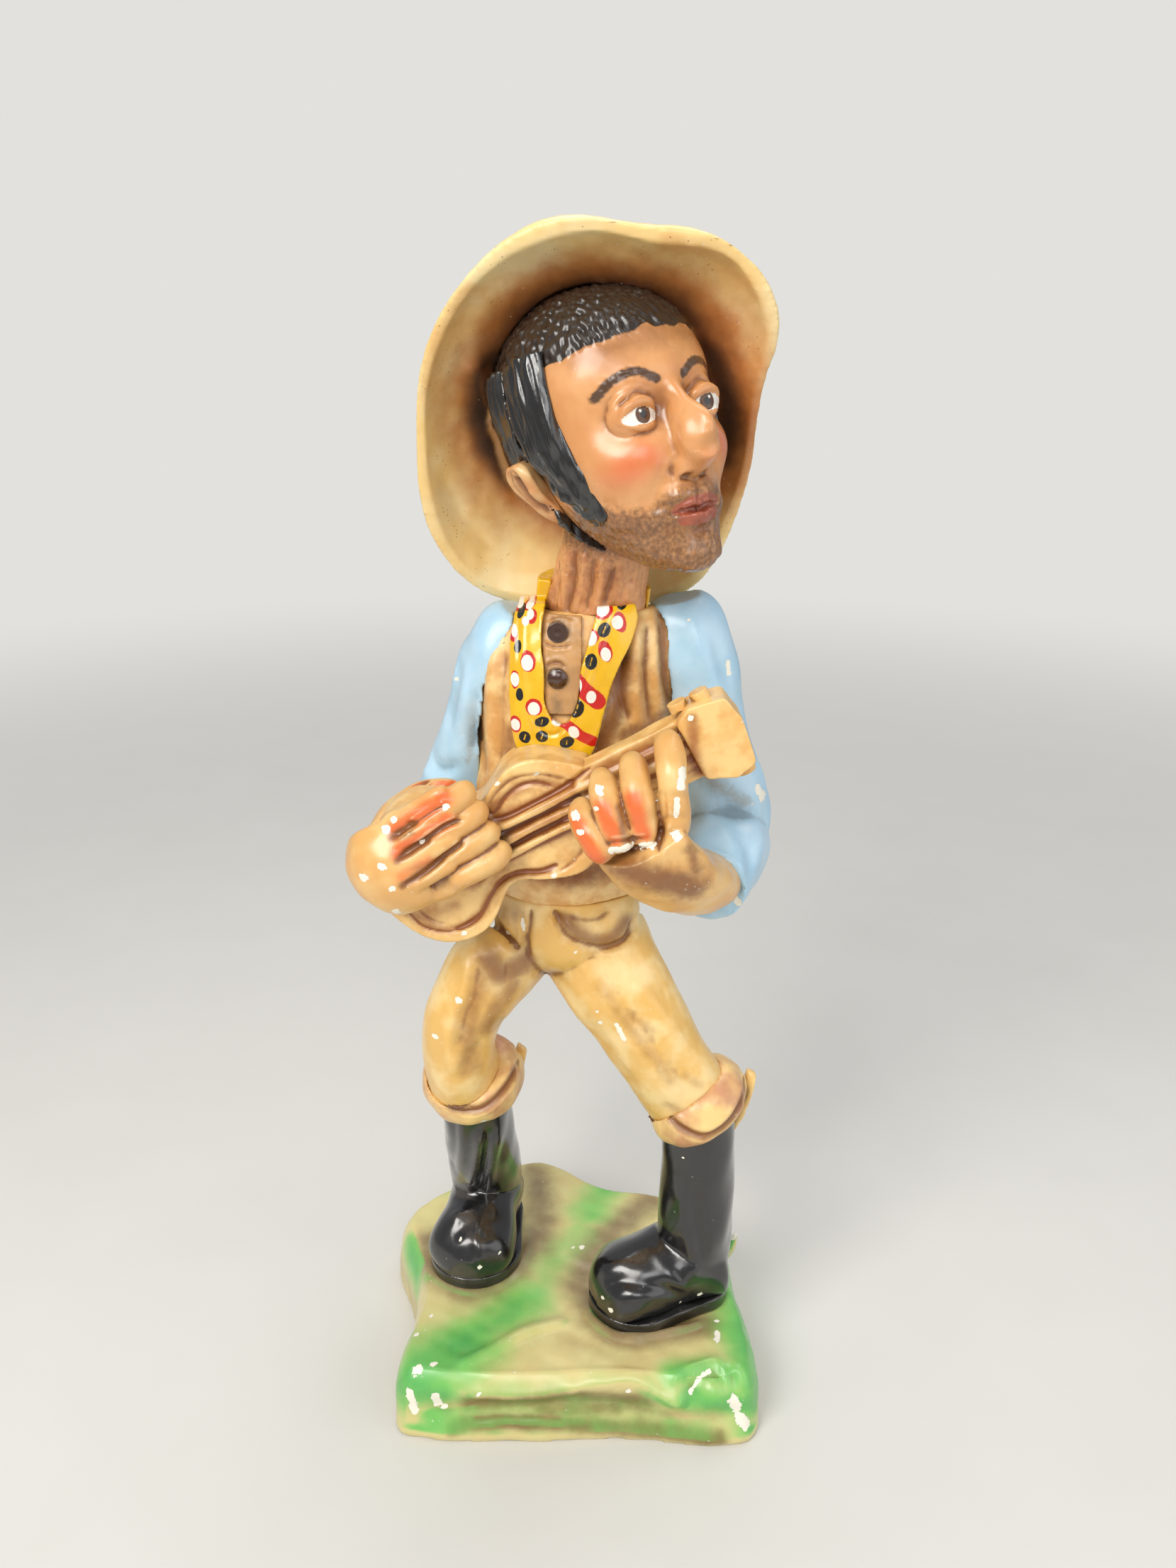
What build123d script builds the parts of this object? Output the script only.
from build123d import *
import os
from math import cos, pi, radians, sin, sqrt

os.makedirs("parts", exist_ok=True)

# A plaster figure of a striding guitar player in a tilted-back hat, on a slab of ground.
# It faces -Y, so its own right side is at -X. The origin is in the middle of the slab's underside.
# Every casting is made a little too deep into its neighbour and is then cut back by it,
# so the castings meet face to face at their luted joints. Lengths are in millimetres.

# Ground slab: its outline as shares of half the width and half the depth
base_width = 127.0
base_depth = 122.0
base_height = 26.0
base_outline_shares = [
    (-0.92, -0.985), (-0.30, -1.02), (0.45, -1.01), (0.97, -0.98), (1.00, -0.55), (0.96, -0.05),
    (0.88, 0.38), (0.48, 0.62), (0.10, 0.74), (-0.28, 1.00), (-0.74, 0.80), (-1.15, 0.36),
    (-1.05, 0.02), (-0.97, -0.50),
]
base_section_shares = [(0.0, 1.03), (0.40, 1.02), (0.82, 0.985), (1.0, 0.935)]
rock_x = 51.0
rock_y = 0.0
rock_height = 12.0
rock_radius = 7.0
rock_tip_radius = 1.5

# Boots
sole_height = 5.0
ball_radius = 18.0
heel_radius = 13.5
foot_length = 54.0
foot_height = 23.0
foot_inset = 1.5
shaft_half_width = 14.0
shaft_half_depth = 14.5
boot_height = 80.0
right_heel_x = -36.5
right_heel_y = 21.0
right_heading = -100.0
right_top_x = -39.0
right_top_y = 2.0
left_heel_x = 44.0
left_heel_y = -18.0
left_heading = -165.0
left_top_x = 45.0
left_top_y = -13.0
# Each row is a share of the foot's length from the heel's middle, of its half width and of its height
foot_shares = [
    (-0.20, 0.55, 0.50), (-0.13, 0.78, 0.95), (0.05, 0.82, 1.15), (0.24, 0.88, 1.05),
    (0.44, 1.0, 0.86), (0.60, 0.94, 0.74), (0.69, 0.66, 0.56), (0.735, 0.34, 0.32),
]
foot_sink_share = 0.30
# Each row is a share of the boot's height, of the way to its top, and of the shaft's halves
shaft_shares = [(0.07, 0.0, 0.80), (0.25, 0.08, 0.96), (0.50, 0.42, 1.0), (0.78, 0.80, 0.95), (1.0, 1.0, 0.90)]
tab_thickness = 3.6
tab_width = 9.0
tab_height = 8.0
tab_root = 14.0
tab_lean = 7.0
tab_tip_share = 0.70
right_tab_bearing = 32.0
left_tab_bearing = 22.0

# Trousers
cuff_height = 17.0
cuff_roll = 4.2
trouser_rise = 58.0
right_leg_half_width = 13.5
left_leg_half_width = 16.5
leg_half_depth = 14.0
leg_lap = 5.0
right_knee_x = -42.0
right_knee_y = -8.0
right_hip_x = -23.5
left_knee_x = 25.5
left_knee_y = -11.0
left_hip_x = 6.0
hip_y = 2.0
knee_share = 0.50
# Each row is a share of the way along the leg and of its halves
leg_shares = [(0.0, 0.90), (0.28, 0.98), (0.50, 1.0), (0.76, 1.12), (1.0, 1.20)]
# Each row is a share of the cuff's height and of its roll
cuff_shares = [(-0.5, 0.0), (-0.25, 1.0), (0.25, 1.0), (0.5, 0.0)]
seat_height = 24.0
seat_half_width = 25.0
seat_half_depth = 18.0
waist_x = -4.0
waist_y = 1.0
# Each row is a share of the seat's height, half width and half depth
seat_shares = [(-0.30, 0.50, 0.55), (0.0, 0.86, 0.88), (0.45, 1.02, 1.03), (1.0, 0.98, 0.97)]

# Vest: each row is a share of the height, of the lean, of the half width and of the half depth
torso_height = 99.0
chest_half_width = 32.5
chest_half_depth = 21.5
torso_lean = 9.0
vest_shares = [
    (0.0, 0.0, 0.77, 0.81), (0.18, 0.0, 0.85, 0.94), (0.40, 0.05, 0.91, 1.0), (0.62, 0.28, 0.985, 1.0),
    (0.80, 0.45, 1.0, 0.90), (0.93, 0.78, 0.86, 0.79), (1.0, 1.0, 0.60, 0.68),
]
placket_width = 15.0
placket_thickness = 1.4
placket_length = 30.0
placket_x = -5.5
button_count = 2
button_radius = 3.2
button_proud = 3.8
button_spacing = 14.0
top_button_drop = 4.5

# Kerchief: a band round the neck whose ends join in a U on the chest.
# Its edges are shares of half its width across, and of its drop down
kerchief_thickness = 3.2
kerchief_width = 40.0
kerchief_drop = 55.0
kerchief_x = -0.5
kerchief_rise = 8.0
kerchief_outer_shares = [
    (-0.74, 0.0), (-0.98, 0.24), (-1.02, 0.48), (-0.99, 0.78), (-0.82, 0.95), (-0.33, 1.0),
    (0.18, 0.97), (0.40, 0.80), (0.68, 0.45), (1.0, 0.14), (0.80, 0.0),
]
kerchief_inner_shares = [
    (0.36, 0.0), (0.34, 0.14), (0.12, 0.44), (0.0, 0.68), (-0.16, 0.74), (-0.36, 0.70),
    (-0.46, 0.50), (-0.50, 0.25), (-0.38, 0.0),
]

# Neck and head
neck_half_width = 15.0
neck_half_depth = 13.0
neck_sink = 9.0
# Each row is a share of the way up the neck and of its halves
neck_shares = [(0.0, 1.12), (0.30, 1.04), (0.62, 0.96), (1.0, 0.90)]
nape_back_share = -0.25
nape_drop_share = -0.22
head_height = 84.0
head_half_width = 28.0
head_half_depth = 34.0
head_x = 11.5
head_y = -10.0
head_rise = 53.0
head_turn = 32.0
head_lift = 15.0
head_roll = 8.0
# Each row is a share of the height from the middle, forward of half the depth, and of the two halves
head_shares = [
    (-0.50, 0.58, 0.20, 0.16), (-0.46, 0.55, 0.38, 0.32), (-0.34, 0.37, 0.64, 0.60),
    (-0.14, 0.14, 0.87, 0.86), (0.08, 0.02, 1.0, 1.0), (0.28, -0.05, 0.97, 1.0),
    (0.43, -0.10, 0.70, 0.76), (0.50, -0.12, 0.28, 0.32),
]
nose_width = 11.0
nose_proud = 10.0
# Each row is a share of the head's height, of how proud the nose stands, and of its width
nose_shares = [
    (0.08, 0.10, 0.22), (0.0, 0.42, 0.32), (-0.08, 0.86, 0.46), (-0.125, 0.80, 0.44), (-0.155, 0.35, 0.24),
]
lip_half_width = 9.0
lip_radius = 2.4
lip_place_share = -0.26
# Each row is a share of the lips' half width and of their radius
lip_shares = [(-1.0, 0.35), (-0.55, 0.9), (0.0, 1.0), (0.55, 0.9), (1.0, 0.35)]
eye_radius = 5.2
eye_spacing = 23.0
eye_place_share = 0.035
eye_proud = 2.2
ear_height = 18.0
ear_width = 12.0
ear_thickness = 6.0
ear_back = 8.0
ear_place_share = -0.12
# Each row is a share of the ear's height, of its thickness outwards, and of its width
ear_shares = [(-0.5, 0.1, 0.35), (-0.3, 0.3, 0.75), (0.05, 0.6, 0.95), (0.35, 0.8, 1.0), (0.5, 0.8, 0.5)]
hair_thickness = 2.8
hair_front = -4.0
hair_low_share = -0.42
hair_high_share = 0.30
lock_width = 19.0
lock_thickness = 4.4
# Each row is a share of the head's height, of its half depth forwards, and of the lock's width
lock_shares = [(0.30, 0.12, 1.0), (0.08, 0.14, 1.0), (-0.12, 0.26, 0.80), (-0.28, 0.42, 0.35)]

# Hat: the brim's outline is in shares of its half width across and its half length towards the top
brim_half_width = 52.5
brim_half_length = 61.0
brim_dish = 14.0
brim_thickness = 5.0
rim_width = 3.0
hat_x = 5.5
hat_y = -7.0
hat_rise = 54.0
hat_tilt = 23.6
brim_outline_shares = [
    (0.985, 0.36), (0.94, 0.69), (0.67, 0.92), (0.30, 0.97), (0.0, 1.01), (-0.38, 0.94), (-0.74, 0.68),
    (-0.97, 0.30), (-1.03, -0.10), (-1.0, -0.54), (-0.73, -0.93), (0.0, -1.03), (0.58, -0.95),
    (0.83, -0.58), (0.94, -0.12),
]
# Each row is a share of the dish's depth and of the brim's outline; the last is the opening
brim_shares = [(0.34, 0.86), (0.72, 0.70), (1.0, 0.56)]
edge_share = 0.985
crown_height = 42.0
crown_lap = 2.5
# Each row is a share of the crown's height and of its base
crown_shares = [(0.0, 1.0), (0.25, 0.97), (0.60, 0.88), (0.88, 0.76), (1.0, 0.58)]
crease_depth = 9.0
crease_half_width = 8.0
# Each row is a share of the crown's base half length, and of the crease's section
crease_shares = [(-0.75, 0.3), (-0.35, 1.0), (0.35, 1.0), (0.75, 0.3)]

# Arms
sleeve_radius = 14.0
shoulder_y = 5.0
right_shoulder_x = -20.0
left_shoulder_x = 35.0
right_shoulder_drop = 11.0
left_shoulder_drop = 7.0
right_elbow_x = -46.0
right_elbow_y = 14.0
right_elbow_drop = 82.0
right_wrist_x = -52.0
right_wrist_y = -9.0
right_wrist_drop = 83.0
left_elbow_x = 54.0
left_elbow_y = 3.0
left_elbow_drop = 80.0
left_wrist_x = 42.0
left_wrist_y = -28.0
left_wrist_drop = 86.0
# Shares of the way along each half of the sleeve, and of the sleeve's radius
upper_sleeve_shares = [(-0.12, 0.60), (0.0, 1.0), (0.28, 1.05), (0.60, 1.0), (0.88, 1.06), (1.06, 0.86)]
lower_sleeve_shares = [(-0.12, 0.80), (0.12, 1.04), (0.55, 1.06), (1.0, 0.98)]

# Guitar, laid out on its face: along its axis, and across it towards the top
guitar_angle = 28.0
guitar_x = -46.0
guitar_rise = 20.0
guitar_face_y = -39.0
body_depth = 20.0
body_length = 78.0
lower_bout = 49.0
upper_bout = 41.0
guitar_waist = 27.0
lower_bout_reach = 17.0
body_rim = 3.0
body_hollow = 1.0
# Each row is a share of the length, and how much of the lower bout, waist and upper bout the breadth takes
body_outline_shares = [
    (0.06, 0.66, 0.0, 0.0), (0.22, 1.0, 0.0, 0.0), (0.39, 0.62, 0.38, 0.0), (0.51, 0.0, 1.0, 0.0),
    (0.63, 0.0, 0.45, 0.55), (0.77, 0.0, 0.0, 1.0), (0.91, 0.0, 0.0, 0.78), (1.0, 0.0, 0.0, 0.46),
]
neck_width = 20.0
neck_depth = 9.0
neck_length = 31.0
neck_lap = 5.0
headstock_width = 26.0
headstock_length = 18.0
headstock_depth = 14.0
headstock_proud = 4.0
headstock_edge = 2.0
# Each row is a share of the headstock's length and width
headstock_outline_shares = [
    (0.0, 0.38), (0.29, 0.50), (0.90, 0.42), (1.0, 0.10), (0.88, -0.46), (0.50, -0.52), (0.0, -0.36),
]
# Each row is a share of the headstock's length, and the side that the peg stands on
peg_shares = [(0.34, 1), (0.74, 1), (0.66, -1)]
peg_radius = 3.0
peg_reach = 2.5
peg_sink = 5.0
string_count = 3
string_radius = 1.2
string_spacing = 4.6
string_start = 8.0

# Hands: each row places a finger of the left hand by shares of the guitar neck's length and width,
# first its knuckle and then its tip
finger_radius = 4.6
palm_half_width = 15.0
palm_half_depth = 9.5
palm_bulge = 6.0
palm_drop = 6.0
palm_lap = 4.0
knuckle_proud = 17.0
left_finger_shares = [
    (-0.16, -0.62, -0.20, 0.05), (0.02, -0.62, 0.12, 0.32), (0.26, -0.68, 0.46, 0.34), (0.55, -0.76, 0.86, 0.40),
]
# Each row is a share of the way from wrist to knuckles and of the palm's halves
left_palm_shares = [(0.0, 0.80, 1.10), (0.35, 1.0, 1.10), (0.70, 1.05, 1.0), (1.0, 0.95, 0.70)]
# Each row is a share of the way along a finger and of its radius
finger_shares = [(0.0, 0.80), (0.25, 1.0), (0.62, 1.0), (0.88, 0.86), (1.0, 0.45)]
fingertip_share = 0.6
right_palm_across = 10.5
right_palm_proud = 7.0
# Each row is a share of the lower bout's reach, of how proud the palm is, of the body's depth behind the face,
# and of the palm's halves
right_palm_shares = [
    (-0.72, 0.0, 0.70, 0.72, 0.85), (-0.92, 0.0, 0.10, 0.80, 0.60), (-0.60, 0.90, 0.0, 1.0, 0.76),
    (-0.20, 1.10, 0.0, 1.02, 0.82), (0.14, 1.0, 0.0, 0.98, 0.62),
]
right_palm_root_share = 0.80
right_finger_count = 4
right_finger_radius = 4.3
right_finger_pitch = 7.4
right_finger_length = 30.0
right_finger_start = -3.0

# Steel armature
wire_radius = 1.6
wire_bend = 7.0
wire_foot = 8.0
wire_ankle = 22.0
wire_rise = 24.0
wire_spacing = 8.0
wire_root_drop = 4.0
wire_palm_lap = 6.0
neck_wire_sink = 38.0
rod_radius = 1.3
rod_depth = 4.5
rod_sink = 20.0
rod_end = 9.0

# Places on every oval section
oval_places = 6

# Levels, from the slab's underside up
ground_level = base_height
sole_level = ground_level + sole_height
cuff_level = ground_level + boot_height
hip_level = cuff_level + trouser_rise
waist_level = hip_level + seat_height
shoulder_level = waist_level + torso_height
head_level = shoulder_level + head_rise
hat_level = shoulder_level + hat_rise

# A closed oval is drawn through these places, always begun at the same one, so lofts don't twist
oval_turns = [2 * pi * index / oval_places for index in range(oval_places)]
oval_shares = [(cos(turn), sin(turn)) for turn in oval_turns]


def loft_ovals(stations):
    """Solid lofted through ovals given as (plane, half width, half depth)."""
    with BuildPart() as body:
        for plane, half_width, half_depth in stations:
            with BuildSketch(plane):
                with BuildLine():
                    Spline(*[(half_width * x, half_depth * y) for x, y in oval_shares], periodic=True)
                make_face()
        loft()
    return body.part


def limb(stations, side=Vector(1, 0, 0)):
    """Solid lofted square to a path, through ovals given as (centre, half width, half depth)."""
    last = len(stations) - 1
    sections = []
    for index, (centre, half_width, half_depth) in enumerate(stations):
        heading = stations[min(index + 1, last)][0] - stations[max(index - 1, 0)][0]
        across = side - heading * (side.dot(heading) / heading.dot(heading))
        sections.append((Plane(origin=centre, x_dir=across, z_dir=heading), half_width, half_depth))
    return loft_ovals(sections)


def loft_outline(plane, outline, sections):
    """Solid lofted through one closed outline, scaled, at each height: (height, scale)."""
    with BuildPart() as body:
        for height, size in sections:
            with BuildSketch(plane.offset(height)):
                with BuildLine():
                    Spline(*[(x * size, y * size) for x, y in outline], periodic=True)
                make_face()
        loft()
    return body.part


def between(start, end, way):
    """Place a share of the way from one place to another."""
    return start * (1 - way) + end * way


def along_bend(start, bend, end, way):
    """Place on the smooth curve from a start to an end, drawn towards a bend."""
    return between(between(start, bend, way), between(bend, end, way), way)


def blend_row(rows, place):
    """Row of a table of shares, worked out at a place between its rows by their first column."""
    for low, high in zip(rows, rows[1:]):
        if place <= high[0]:
            break
    way = (place - low[0]) / (high[0] - low[0])
    return [from_low * (1 - way) + from_high * way for from_low, from_high in zip(low, high)]


def wire(places):
    """Steel rod bent through the given places."""
    with BuildPart() as rod:
        with BuildLine() as route:
            FilletPolyline(*places, radius=wire_bend)
        with BuildSketch(Plane(origin=route.line @ 0, z_dir=route.line % 0)):
            Circle(wire_radius)
        sweep()
    return rod.part


def straight_rod(start, end, radius):
    """Straight steel rod."""
    with BuildPart() as rod:
        with BuildSketch(Plane(origin=start, z_dir=end - start)):
            Circle(radius)
        extrude(amount=(end - start).length)
    return rod.part


def cut_back(*neighbours):
    """Cuts the piece that is being made back to its neighbours' surfaces."""
    add([neighbour.part for neighbour in neighbours], mode=Mode.SUBTRACT)


def finish(piece, name):
    """Names a finished piece and writes it."""
    piece.part.label = name
    export_step(piece.part, f"parts/{name}.step")


# Places that several pieces share
right_heel = Vector(right_heel_x, right_heel_y, ground_level)
left_heel = Vector(left_heel_x, left_heel_y, ground_level)
right_boot_top = Vector(right_top_x, right_top_y, cuff_level)
left_boot_top = Vector(left_top_x, left_top_y, cuff_level)
right_knee = Vector(right_knee_x, right_knee_y, cuff_level + trouser_rise * knee_share)
left_knee = Vector(left_knee_x, left_knee_y, cuff_level + trouser_rise * knee_share)
right_hip = Vector(right_hip_x, hip_y, hip_level)
left_hip = Vector(left_hip_x, hip_y, hip_level)
waist = Vector(waist_x, waist_y, waist_level)
collar = Vector(waist_x + torso_lean, waist_y, shoulder_level)
right_shoulder = Vector(right_shoulder_x, shoulder_y, shoulder_level - right_shoulder_drop)
left_shoulder = Vector(left_shoulder_x, shoulder_y, shoulder_level - left_shoulder_drop)
right_elbow = Vector(right_elbow_x, right_elbow_y, shoulder_level - right_elbow_drop)
left_elbow = Vector(left_elbow_x, left_elbow_y, shoulder_level - left_elbow_drop)
right_wrist = Vector(right_wrist_x, right_wrist_y, shoulder_level - right_wrist_drop)
left_wrist = Vector(left_wrist_x, left_wrist_y, shoulder_level - left_wrist_drop)
body_end = body_length - lower_bout_reach
body_middle = body_length / 2 - lower_bout_reach
headstock_start = body_end + neck_length

# The head's own axes: its face looks along -y of this plane, and its top is along z
gaze = Vector(
    sin(radians(head_turn)) * cos(radians(head_lift)),
    -cos(radians(head_turn)) * cos(radians(head_lift)),
    sin(radians(head_lift)),
)
level_side = Vector(cos(radians(head_turn)), sin(radians(head_turn)), 0)
level_up = gaze.cross(level_side)
head_up = level_up * cos(radians(head_roll)) - level_side * sin(radians(head_roll))
head_side = level_side * cos(radians(head_roll)) + level_up * sin(radians(head_roll))
head_plane = Plane(origin=(head_x, head_y, head_level), x_dir=head_side, z_dir=head_up)

# The hat's plane: x to the figure's left, y towards the top of the brim, z out of the bowl
hat_axis = Vector(0, -cos(radians(hat_tilt)), -sin(radians(hat_tilt)))
hat_plane = Plane(origin=(hat_x, hat_y, hat_level), x_dir=(1, 0, 0), z_dir=hat_axis)

# The guitar's plane: x along its axis, y across towards its top edge, z out of its face
guitar_axis = Vector(cos(radians(guitar_angle)), 0, sin(radians(guitar_angle)))
guitar_across = Vector(-sin(radians(guitar_angle)), 0, cos(radians(guitar_angle)))
guitar_centre = (guitar_x, guitar_face_y, waist_level + guitar_rise)
guitar_face = Plane(origin=guitar_centre, x_dir=guitar_axis, z_dir=(0, -1, 0))


def on_head(across, forward, up):
    """Place in the head's own axes, from its middle."""
    return head_plane.from_local_coords(Vector(across, -forward, up))


def on_guitar(along, across, proud):
    """Place on the guitar, from the middle of its lower bout."""
    return guitar_face.from_local_coords(Vector(along, across, proud))


# Steel rods inside the thin castings
def leg_route(heel, boot_top, knee, hip, side_step):
    """Places that a leg's rod passes, from inside the slab to inside the chest."""
    foot = Vector(heel.X, heel.Y, wire_foot)
    ankle = Vector(heel.X, heel.Y, sole_level + wire_ankle)
    chest = waist + Vector(side_step, 0, wire_rise)
    bend = knee * 2 - (boot_top + hip) / 2
    return [foot, ankle, boot_top, along_bend(boot_top, bend, hip, knee_share), hip, chest]


def arm_route(side_step, shoulder, elbow, wrist):
    """Places that an arm's rod passes, from inside the chest to inside the palm."""
    root = Vector(collar.X + side_step, shoulder_y, shoulder.Z - wire_root_drop)
    return [root, shoulder, elbow, wrist + (wrist - elbow).normalized() * wire_palm_lap]


with BuildPart() as right_leg_wire:
    add(wire(leg_route(right_heel, right_boot_top, right_knee, right_hip, -wire_spacing)))
finish(right_leg_wire, "right_leg_wire")

with BuildPart() as left_leg_wire:
    add(wire(leg_route(left_heel, left_boot_top, left_knee, left_hip, wire_spacing)))
finish(left_leg_wire, "left_leg_wire")

with BuildPart() as right_arm_wire:
    add(wire(arm_route(-wire_spacing, right_shoulder, right_elbow, right_wrist)))
finish(right_arm_wire, "right_arm_wire")

with BuildPart() as left_arm_wire:
    add(wire(arm_route(wire_spacing, left_shoulder, left_elbow, left_wrist)))
finish(left_arm_wire, "left_arm_wire")

with BuildPart() as neck_wire:
    chest_end = Vector((waist_x + collar.X) / 2, waist_y, shoulder_level - neck_wire_sink)
    add(straight_rod(chest_end, head_plane.origin, wire_radius))
finish(neck_wire, "neck_wire")

with BuildPart() as guitar_neck_wire:
    rod_start = on_guitar(body_end - rod_sink, 0, -rod_depth)
    add(straight_rod(rod_start, on_guitar(headstock_start + rod_end, 0, -rod_depth), rod_radius))
finish(guitar_neck_wire, "guitar_neck_wire")

# Ground slab with a small rock near its edge
base_outline = [(x * base_width / 2, y * base_depth / 2) for x, y in base_outline_shares]
with BuildPart() as ground_base:
    add(loft_outline(Plane.XY, base_outline, [(base_height * rise, size) for rise, size in base_section_shares]))
    with Locations((rock_x, rock_y, ground_level)):
        Cone(rock_radius, rock_tip_radius, rock_height, align=(Align.CENTER, Align.CENTER, Align.MIN))
    cut_back(right_leg_wire, left_leg_wire)
finish(ground_base, "ground_base")


def foot_plane(heel, heading, level):
    """Plane of a foot: its origin under the heel's middle, and x towards the toe."""
    toe_way = Vector(cos(radians(heading)), sin(radians(heading)), 0)
    return Plane(origin=(heel.X, heel.Y, level), x_dir=toe_way, z_dir=(0, 0, 1))


def sole(heel, heading):
    """Sole with a round heel and a round ball."""
    with BuildPart() as body:
        with BuildSketch(foot_plane(heel, heading, ground_level)):
            Circle(heel_radius)
            with Locations((foot_length - heel_radius - ball_radius, 0)):
                Circle(ball_radius)
            make_hull()
        extrude(amount=sole_height)
    return body.part


def boot(heel, heading, boot_top):
    """Boot upper: a low foot with a round toe, and a shaft that leans to the boot's top."""
    plane = foot_plane(heel, heading, sole_level)
    foot = []
    for way, breadth, rise in foot_shares:
        height = foot_height * rise
        place = plane.from_local_coords(Vector(foot_length * way, 0, height * foot_sink_share))
        section = Plane(origin=place, x_dir=plane.y_dir, z_dir=plane.x_dir)
        foot.append((section, (ball_radius - foot_inset) * breadth, height * (1 - foot_sink_share)))
    shaft = []
    for rise, way, size in shaft_shares:
        place = between(heel, boot_top, way)
        section = Plane(origin=(place.X, place.Y, ground_level + boot_height * rise))
        shaft.append((section, shaft_half_width * size, shaft_half_depth * size))
    with BuildPart() as body:
        add(loft_ovals(foot))
        add(loft_ovals(shaft))
        split(bisect_by=Plane.XY.offset(sole_level), keep=Keep.TOP)
    return body.part


def pull_tab(boot_top, bearing):
    """Strap that stands up behind a boot's top, outside the trouser cuff."""
    outward = Vector(cos(radians(bearing)), sin(radians(bearing)), 0)
    root = boot_top + outward * (shaft_half_width - tab_thickness) - Vector(0, 0, tab_root)
    bend = boot_top + outward * (shaft_half_width + cuff_roll)
    tip = boot_top + outward * (shaft_half_width + tab_lean) + Vector(0, 0, tab_height)
    stations = [
        (root, tab_width / 2, tab_thickness / 2),
        (bend, tab_width / 2, tab_thickness / 2),
        (tip, tab_width / 2 * tab_tip_share, tab_thickness / 2 * tab_tip_share),
    ]
    return limb(stations, Vector(0, 0, 1).cross(outward))


with BuildPart() as right_boot_sole:
    add(sole(right_heel, right_heading))
    cut_back(right_leg_wire)
finish(right_boot_sole, "right_boot_sole")

with BuildPart() as left_boot_sole:
    add(sole(left_heel, left_heading))
    cut_back(left_leg_wire, ground_base)
finish(left_boot_sole, "left_boot_sole")

with BuildPart() as right_boot:
    add(boot(right_heel, right_heading, right_boot_top))
    cut_back(right_leg_wire)
finish(right_boot, "right_boot")

with BuildPart() as left_boot:
    add(boot(left_heel, left_heading, left_boot_top))
    cut_back(left_leg_wire, ground_base)
finish(left_boot, "left_boot")

with BuildPart() as right_boot_pull_tab:
    add(pull_tab(right_boot_top, right_tab_bearing))
    cut_back(right_boot)
finish(right_boot_pull_tab, "right_boot_pull_tab")

with BuildPart() as left_boot_pull_tab:
    add(pull_tab(left_boot_top, left_tab_bearing))
    cut_back(left_boot)
finish(left_boot_pull_tab, "left_boot_pull_tab")

# Trousers: the seat is whole, and the legs are cut back by it
with BuildPart() as trouser_seat:
    seat_sections = []
    for rise, breadth, depth in seat_shares:
        section = Plane(origin=(waist_x, waist_y, hip_level + seat_height * rise))
        seat_sections.append((section, seat_half_width * breadth, seat_half_depth * depth))
    add(loft_ovals(seat_sections))
    cut_back(right_leg_wire, left_leg_wire)
finish(trouser_seat, "trouser_seat")


def trouser_leg(boot_top, knee, hip, leg_half_width):
    """Trouser leg from inside its cuff, over the knee, to inside the seat."""
    low = boot_top - Vector(0, 0, leg_lap)
    bend = knee * 2 - (low + hip) / 2
    stations = []
    for way, size in leg_shares:
        stations.append((along_bend(low, bend, hip, way), leg_half_width * size, leg_half_depth * size))
    return limb(stations)


def cuff(boot_top, knee):
    """Rolled cuff round the foot of a trouser leg, before the leg and the boot are cut out of it."""
    way_up = (knee - boot_top).normalized()
    middle = boot_top + way_up * (cuff_roll / 2)
    stations = []
    for place, swell in cuff_shares:
        reach = shaft_half_width + cuff_roll * swell
        stations.append((middle + way_up * (cuff_height * place), reach, reach))
    return limb(stations)


with BuildPart() as right_trouser_leg:
    add(trouser_leg(right_boot_top, right_knee, right_hip, right_leg_half_width))
    cut_back(trouser_seat, right_boot, right_leg_wire)
finish(right_trouser_leg, "right_trouser_leg")

with BuildPart() as left_trouser_leg:
    add(trouser_leg(left_boot_top, left_knee, left_hip, left_leg_half_width))
    cut_back(trouser_seat, right_trouser_leg, left_boot, left_leg_wire)
finish(left_trouser_leg, "left_trouser_leg")

with BuildPart() as right_trouser_cuff:
    add(cuff(right_boot_top, right_knee))
    cut_back(right_trouser_leg, right_boot, right_boot_pull_tab, right_leg_wire)
finish(right_trouser_cuff, "right_trouser_cuff")

with BuildPart() as left_trouser_cuff:
    add(cuff(left_boot_top, left_knee))
    cut_back(left_trouser_leg, left_boot, left_boot_pull_tab, left_leg_wire)
finish(left_trouser_cuff, "left_trouser_cuff")


# Chest, in its vest
def torso_body(extra):
    """Chest from the waist to the collar, grown all round by an extra thickness."""
    sections = []
    for rise, lean, breadth, depth in vest_shares:
        height = waist_level + (torso_height + extra) * rise
        section = Plane(origin=(waist_x + torso_lean * lean, waist_y, height))
        sections.append((section, chest_half_width * breadth + extra, chest_half_depth * depth + extra))
    return loft_ovals(sections)


def chest_plane(x, level):
    """Upright plane that faces forwards on the chest's middle, at a place across and a level."""
    return Plane(origin=(x, waist_y, level), x_dir=(1, 0, 0), z_dir=(0, -1, 0))


with BuildPart() as vest:
    add(torso_body(0))
    cut_back(right_leg_wire, left_leg_wire, right_arm_wire, left_arm_wire, neck_wire)
finish(vest, "vest")


# Head
def head_body(extra):
    """Head from chin to crown, grown all round by an extra thickness."""
    sections = []
    for rise, forward, breadth, depth in head_shares:
        section = Plane(
            origin=on_head(0, head_half_depth * forward, (head_height + extra) * rise),
            x_dir=head_side,
            z_dir=head_up,
        )
        sections.append((section, head_half_width * breadth + extra, head_half_depth * depth + extra))
    return loft_ovals(sections)


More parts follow.
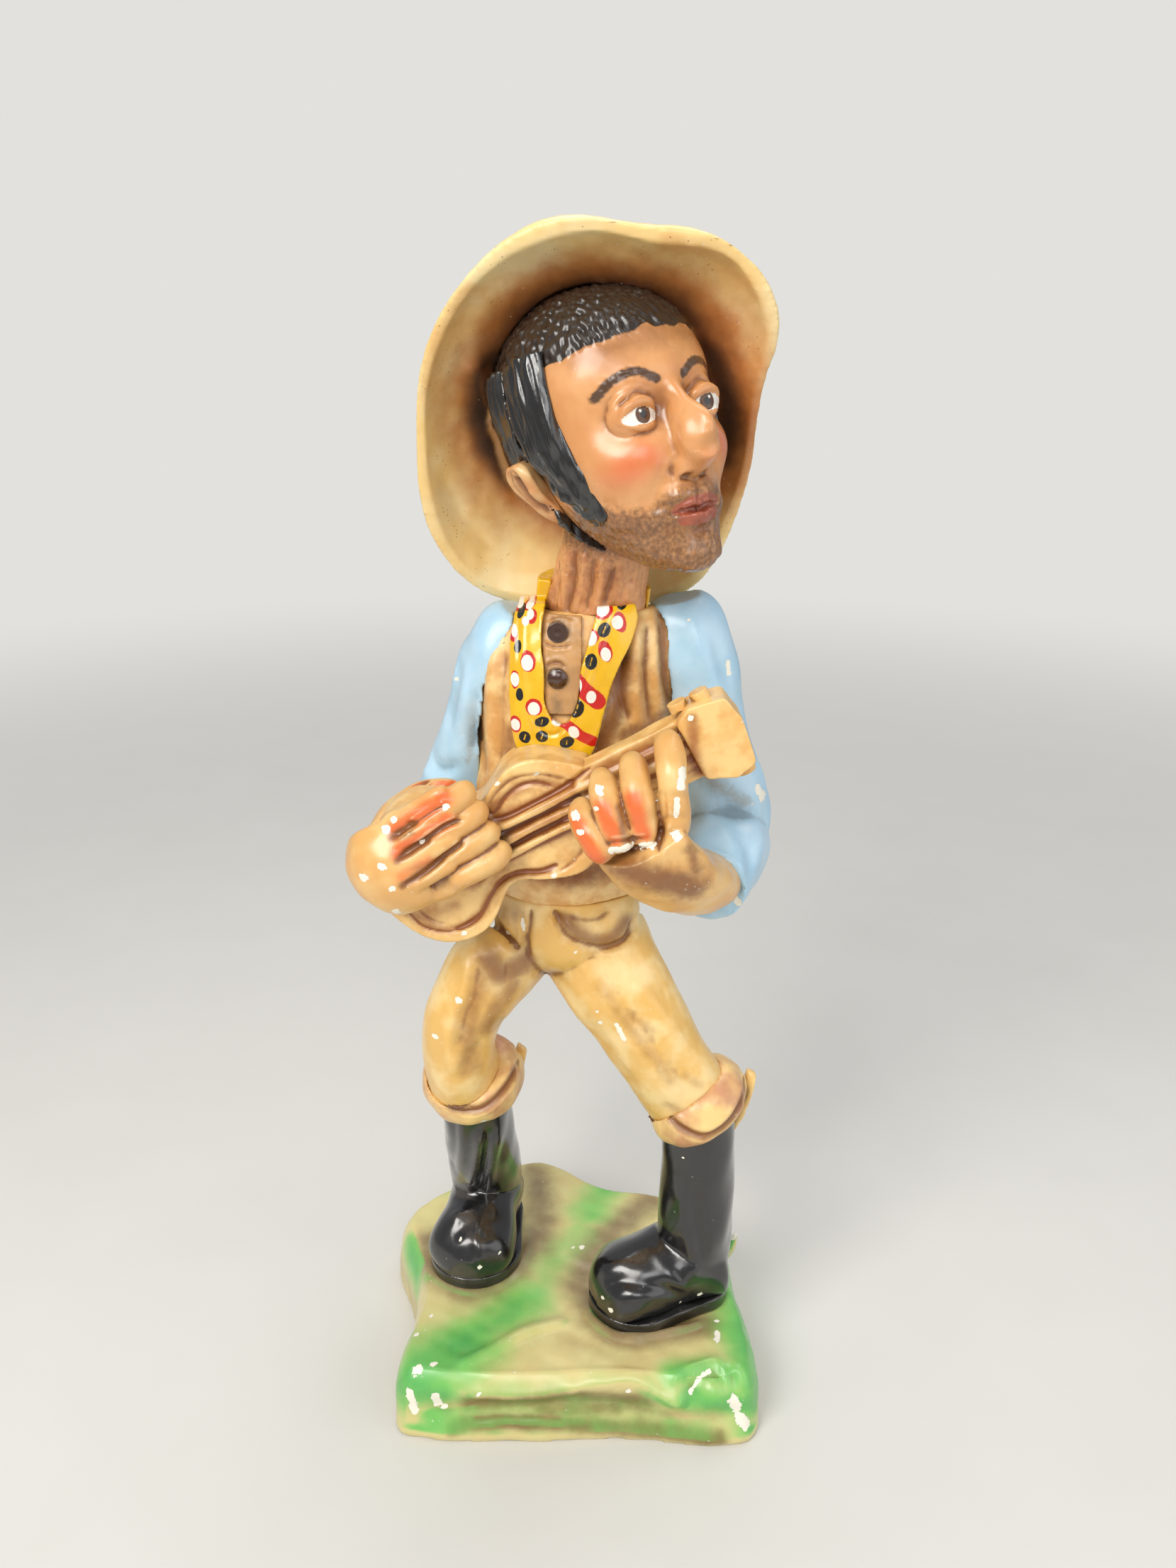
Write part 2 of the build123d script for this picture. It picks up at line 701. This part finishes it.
def head_skin(forward, up):
    """How far the side of the head is from its middle, at a place forwards and up."""
    shift, breadth, depth = blend_row(head_shares, up / head_height)[1:]
    reach = (forward / head_half_depth - shift) / depth
    return head_half_width * breadth * sqrt(max(1 - reach * reach, 0))


def face_skin(across, up):
    """How far forward the face is, at a place across and up."""
    shift, breadth, depth = blend_row(head_shares, up / head_height)[1:]
    reach = across / (head_half_width * breadth)
    return head_half_depth * (shift + depth * sqrt(max(1 - reach * reach, 0)))


with BuildPart() as head:
    add(head_body(0))
    nose = []
    for rise, proud, size in nose_shares:
        radius = nose_width * size
        front = face_skin(0, head_height * rise) + nose_proud * proud
        nose.append((on_head(0, front - radius, head_height * rise), radius, radius))
    add(limb(nose, head_side))
    lips = []
    for way, size in lip_shares:
        across = lip_half_width * way
        front = face_skin(across, head_height * lip_place_share)
        lips.append((on_head(across, front, head_height * lip_place_share), lip_radius * size, lip_radius * size))
    add(limb(lips, head_up))
    for way in (-1, 1):
        across = eye_spacing / 2 * way
        front = face_skin(across, head_height * eye_place_share) + eye_proud
        with Locations(on_head(across, front - eye_radius, head_height * eye_place_share)):
            Sphere(eye_radius)
    cut_back(neck_wire)
finish(head, "head")


def ear(way):
    """Ear that stands out from one side of the head."""
    stations = []
    for rise, out, size in ear_shares:
        up = head_height * ear_place_share + ear_height * rise
        across = head_skin(-ear_back, up) + ear_thickness * out
        stations.append((on_head(across * way, -ear_back, up), ear_thickness / 2, ear_width / 2 * size))
    return limb(stations, head_side)


def side_lock(way):
    """Lock of hair that lies on one side of the head, in front of the ear."""
    stations = []
    for rise, forward, size in lock_shares:
        up = head_height * rise
        across = head_skin(head_half_depth * forward, up)
        place = on_head(across * way, head_half_depth * forward, up)
        stations.append((place, lock_width / 2 * size, lock_thickness * size))
    return limb(stations, gaze)


with BuildPart() as right_ear:
    add(ear(-1))
    cut_back(head)
finish(right_ear, "right_ear")

with BuildPart() as left_ear:
    add(ear(1))
    cut_back(head)
finish(left_ear, "left_ear")

with BuildPart() as neck:
    neck_foot = collar - Vector(0, 0, neck_sink)
    nape = on_head(0, head_half_depth * nape_back_share, head_height * nape_drop_share)
    neck_stations = []
    for way, size in neck_shares:
        place = between(neck_foot, nape, way)
        neck_stations.append((place, neck_half_width * size, neck_half_depth * size))
    add(limb(neck_stations))
    cut_back(vest, head, neck_wire, right_arm_wire, left_arm_wire)
finish(neck, "neck")

with BuildPart() as back_hair:
    add(head_body(hair_thickness))
    hair_width = (head_half_width + hair_thickness) * 2
    hair_depth = head_half_depth * 2
    hair_height = head_height * (hair_high_share - hair_low_share)
    hair_middle = on_head(0, hair_front - hair_depth / 2, head_height * (hair_high_share + hair_low_share) / 2)
    with Locations(Plane(origin=hair_middle, x_dir=head_side, z_dir=head_up)):
        Box(hair_width, hair_depth, hair_height, mode=Mode.INTERSECT)
    cut_back(head, right_ear, left_ear, neck, neck_wire, vest)
finish(back_hair, "back_hair")

with BuildPart() as right_side_lock:
    add(side_lock(-1))
    cut_back(head, right_ear, back_hair)
finish(right_side_lock, "right_side_lock")

with BuildPart() as left_side_lock:
    add(side_lock(1))
    cut_back(head, left_ear, back_hair)
finish(left_side_lock, "left_side_lock")

# Kerchief, placket and buttons on the chest
def nape_band():
    """Band of the kerchief round the back of the neck."""
    half_width = neck_half_width + kerchief_thickness
    half_depth = neck_half_depth + kerchief_thickness
    foot = collar - Vector(0, 0, kerchief_thickness)
    top = between(collar, head_plane.origin, kerchief_rise / head_rise)
    with BuildPart() as body:
        add(limb([(foot, half_width, half_depth), (top, half_width, half_depth)]))
        split(bisect_by=Plane.XZ.offset(kerchief_thickness), keep=Keep.BOTTOM)
    return body.part


with BuildPart() as neckerchief:
    add(torso_body(kerchief_thickness))
    with BuildSketch(chest_plane(kerchief_x, shoulder_level + kerchief_rise)):
        outer_edge = [(kerchief_width / 2 * x, -kerchief_drop * y) for x, y in kerchief_outer_shares]
        inner_edge = [(kerchief_width / 2 * x, -kerchief_drop * y) for x, y in kerchief_inner_shares]
        with BuildLine():
            Spline(*outer_edge)
            Line(outer_edge[-1], inner_edge[0])
            Spline(*inner_edge)
            Line(inner_edge[-1], outer_edge[0])
        make_face()
    extrude(amount=chest_half_depth * 2, mode=Mode.INTERSECT)
    add(nape_band())
    cut_back(vest, neck, neck_wire, right_arm_wire, left_arm_wire)
finish(neckerchief, "neckerchief")

with BuildPart() as shirt_placket:
    add(torso_body(placket_thickness))
    with BuildSketch(chest_plane(placket_x, shoulder_level - placket_length / 2)):
        Rectangle(placket_width, placket_length)
    extrude(amount=chest_half_depth * 2, mode=Mode.INTERSECT)
    cut_back(vest, neck, neck_wire, neckerchief)
finish(shirt_placket, "shirt_placket")

with BuildPart() as shirt_buttons:
    for index in range(button_count):
        drop = top_button_drop + button_spacing * index
        depth = chest_half_depth * blend_row(vest_shares, 1 - drop / torso_height)[3]
        with BuildSketch(chest_plane(placket_x, shoulder_level - drop)):
            Circle(button_radius)
        extrude(amount=depth + button_proud)
    cut_back(vest, shirt_placket, neckerchief, neck, neck_wire)
finish(shirt_buttons, "shirt_buttons")


# Sleeves
def sleeve(start, end, shares):
    """Half of a sleeve along a straight line."""
    stations = []
    for way, size in shares:
        stations.append((between(start, end, way), sleeve_radius * size, sleeve_radius * size))
    return limb(stations)


with BuildPart() as right_upper_sleeve:
    add(sleeve(right_shoulder, right_elbow, upper_sleeve_shares))
    cut_back(vest, neckerchief, neck, right_arm_wire)
finish(right_upper_sleeve, "right_upper_sleeve")

with BuildPart() as left_upper_sleeve:
    add(sleeve(left_shoulder, left_elbow, upper_sleeve_shares))
    cut_back(vest, neckerchief, neck, left_arm_wire)
finish(left_upper_sleeve, "left_upper_sleeve")

with BuildPart() as right_lower_sleeve:
    add(sleeve(right_elbow, right_wrist, lower_sleeve_shares))
    cut_back(vest, right_upper_sleeve, right_arm_wire)
finish(right_lower_sleeve, "right_lower_sleeve")

with BuildPart() as left_lower_sleeve:
    add(sleeve(left_elbow, left_wrist, lower_sleeve_shares))
    cut_back(vest, left_upper_sleeve, left_arm_wire)
finish(left_lower_sleeve, "left_lower_sleeve")

# Hat
brim_outline = [(x * brim_half_width, y * brim_half_length) for x, y in brim_outline_shares]
opening_share = brim_shares[-1][1]
rim_share = 1 - rim_width / brim_half_width
base_share = opening_share + crown_lap / brim_half_width
with BuildPart() as hat_brim:
    back_sections = [(0, 1), (-brim_thickness, edge_share)]
    front_sections = [(0, rim_share)]
    for depth, size in brim_shares:
        back_sections.append((-brim_dish * depth - brim_thickness, size + crown_lap / brim_half_width))
        front_sections.append((-brim_dish * depth, size))
    add(loft_outline(hat_plane, brim_outline, back_sections))
    add(loft_outline(hat_plane, brim_outline, front_sections), mode=Mode.SUBTRACT)
    opening = [(-brim_dish, opening_share), (-brim_dish - brim_thickness * 2, opening_share)]
    add(loft_outline(hat_plane, brim_outline, opening), mode=Mode.SUBTRACT)
    cut_back(head, right_ear, left_ear, back_hair, right_side_lock, left_side_lock, neck, neckerchief)
    cut_back(vest, right_upper_sleeve, left_upper_sleeve)
finish(hat_brim, "hat_brim")

with BuildPart() as hat_crown:
    crown_sections = []
    for rise, size in crown_shares:
        crown_sections.append((-brim_dish - crown_height * rise, base_share * size))
    add(loft_outline(hat_plane, brim_outline, crown_sections))
    crease = []
    for way, size in crease_shares:
        across = brim_half_length * base_share * way
        place = hat_plane.from_local_coords(Vector(0, across, -brim_dish - crown_height))
        crease.append((place, crease_half_width * size, crease_depth * size))
    add(limb(crease), mode=Mode.SUBTRACT)
    cut_back(hat_brim, head, back_hair, right_side_lock, left_side_lock, right_ear, left_ear, neck_wire)
finish(hat_crown, "hat_crown")


# Guitar
def body_edge(size):
    """Upper edge of the guitar's body from its lower bout to its neck, scaled about the body's middle."""
    points = []
    for way, lower, waisted, upper in body_outline_shares:
        half = (lower_bout * lower + guitar_waist * waisted + upper_bout * upper) / 2
        points.append((body_middle + body_length * (way - 1 / 2) * size, half * size))
    return points


with BuildPart() as guitar_body:
    face_share = 1 - body_rim * 2 / upper_bout
    for size, depth, mode in ((1, body_depth, Mode.ADD), (face_share, body_hollow, Mode.SUBTRACT)):
        upper_edge = body_edge(size)
        lower_edge = [(along, -across) for along, across in reversed(upper_edge)]
        with BuildSketch(guitar_face):
            with BuildLine():
                Spline(*lower_edge, (body_middle - body_length / 2 * size, 0), *upper_edge)
                Line(upper_edge[-1], lower_edge[0])
            make_face()
        extrude(amount=-depth, mode=mode)
    cut_back(vest, neckerchief, right_lower_sleeve, guitar_neck_wire)
finish(guitar_body, "guitar_body")

with BuildPart() as guitar_headstock:
    with BuildSketch(guitar_face.offset(headstock_proud)):
        with BuildLine():
            Polyline(
                *[(headstock_start + headstock_length * x, headstock_width * y) for x, y in headstock_outline_shares],
                close=True,
            )
        make_face()
    extrude(amount=-headstock_depth)
    fillet(guitar_headstock.edges().filter_by(Axis.Y), headstock_edge)
    cut_back(guitar_neck_wire, left_upper_sleeve, left_lower_sleeve)
finish(guitar_headstock, "guitar_headstock")

with BuildPart() as guitar_neck:
    with BuildSketch(guitar_face):
        with Locations((body_end + neck_length / 2, 0)):
            Rectangle(neck_length + neck_lap * 2, neck_width)
    extrude(amount=-neck_depth)
    cut_back(guitar_body, guitar_headstock, guitar_neck_wire)
finish(guitar_neck, "guitar_neck")

with BuildPart() as tuning_pegs:
    for way, side in peg_shares:
        peg_start = on_guitar(
            headstock_start + headstock_length * way,
            side * (headstock_width / 2 - peg_sink),
            headstock_proud - headstock_depth / 2,
        )
        with BuildSketch(Plane(origin=peg_start, z_dir=guitar_across * side)):
            Circle(peg_radius)
        extrude(amount=peg_sink + peg_reach)
    cut_back(guitar_headstock)
finish(tuning_pegs, "tuning_pegs")

with BuildPart() as guitar_strings:
    for index in range(string_count):
        across = string_spacing * (index - (string_count - 1) / 2)
        string_plane = Plane(origin=on_guitar(string_start, across, 0), z_dir=guitar_axis)
        with BuildSketch(string_plane):
            Circle(string_radius)
        extrude(amount=headstock_start - string_start)
    cut_back(guitar_body, guitar_neck, guitar_headstock)
finish(guitar_strings, "guitar_strings")


# Hands
def bent_finger(base, middle, tip, radius, side):
    """Round-ended finger from a knuckle over its middle joint to its tip."""
    stations = []
    for way, size in finger_shares:
        stations.append((along_bend(base, middle, tip, way), radius * size, radius * size))
    return limb(stations, side)


def left_finger(knuckle_along, knuckle_across, tip_along, tip_across):
    """Finger of the left hand, bent over the guitar's neck from below."""
    base = on_guitar(body_end + neck_length * knuckle_along, neck_width * knuckle_across, knuckle_proud)
    tip = on_guitar(body_end + neck_length * tip_along, neck_width * tip_across, finger_radius * fingertip_share)
    middle = on_guitar(
        body_end + neck_length * tip_along, neck_width * tip_across, knuckle_proud + finger_radius
    )
    return bent_finger(base, middle, tip, finger_radius, guitar_axis)


with BuildPart() as left_hand:
    knuckle_rows = list(zip(*left_finger_shares))
    knuckles = on_guitar(
        body_end + neck_length * sum(knuckle_rows[0]) / len(left_finger_shares),
        neck_width * sum(knuckle_rows[1]) / len(left_finger_shares),
        knuckle_proud,
    )
    left_palm_start = left_wrist + (left_elbow - left_wrist).normalized() * palm_lap
    palm_middle = (left_wrist + knuckles) / 2 - Vector(0, palm_bulge, palm_drop)
    left_palm = []
    for way, breadth, depth in left_palm_shares:
        place = along_bend(left_palm_start, palm_middle, knuckles, way)
        left_palm.append((place, palm_half_width * breadth, palm_half_depth * depth))
    add(limb(left_palm))
    for row in left_finger_shares:
        add(left_finger(*row))
    cut_back(left_lower_sleeve, left_arm_wire, guitar_body, guitar_neck, guitar_headstock, guitar_strings)
finish(left_hand, "left_hand")

with BuildPart() as right_hand:
    right_palm_start = right_wrist + (right_elbow - right_wrist).normalized() * palm_lap
    root_radius = sleeve_radius * right_palm_root_share
    right_palm = [(right_palm_start, root_radius, root_radius)]
    for along, proud, behind, breadth, depth in right_palm_shares:
        place = on_guitar(
            lower_bout_reach * along, right_palm_across, right_palm_proud * proud - body_depth * behind
        )
        right_palm.append((place, palm_half_width * breadth, palm_half_depth * depth))
    add(limb(right_palm, guitar_across))
    for index in range(right_finger_count):
        across = right_palm_across + right_finger_pitch * (index - (right_finger_count - 1) / 2)
        base = on_guitar(right_finger_start, across, right_palm_proud)
        middle = on_guitar(right_finger_start + right_finger_length, across, right_palm_proud + right_finger_radius)
        tip = on_guitar(right_finger_start + right_finger_length, across, right_finger_radius * fingertip_share)
        add(bent_finger(base, middle, tip, right_finger_radius, guitar_across))
    cut_back(right_lower_sleeve, right_arm_wire, guitar_body, guitar_strings)
finish(right_hand, "right_hand")
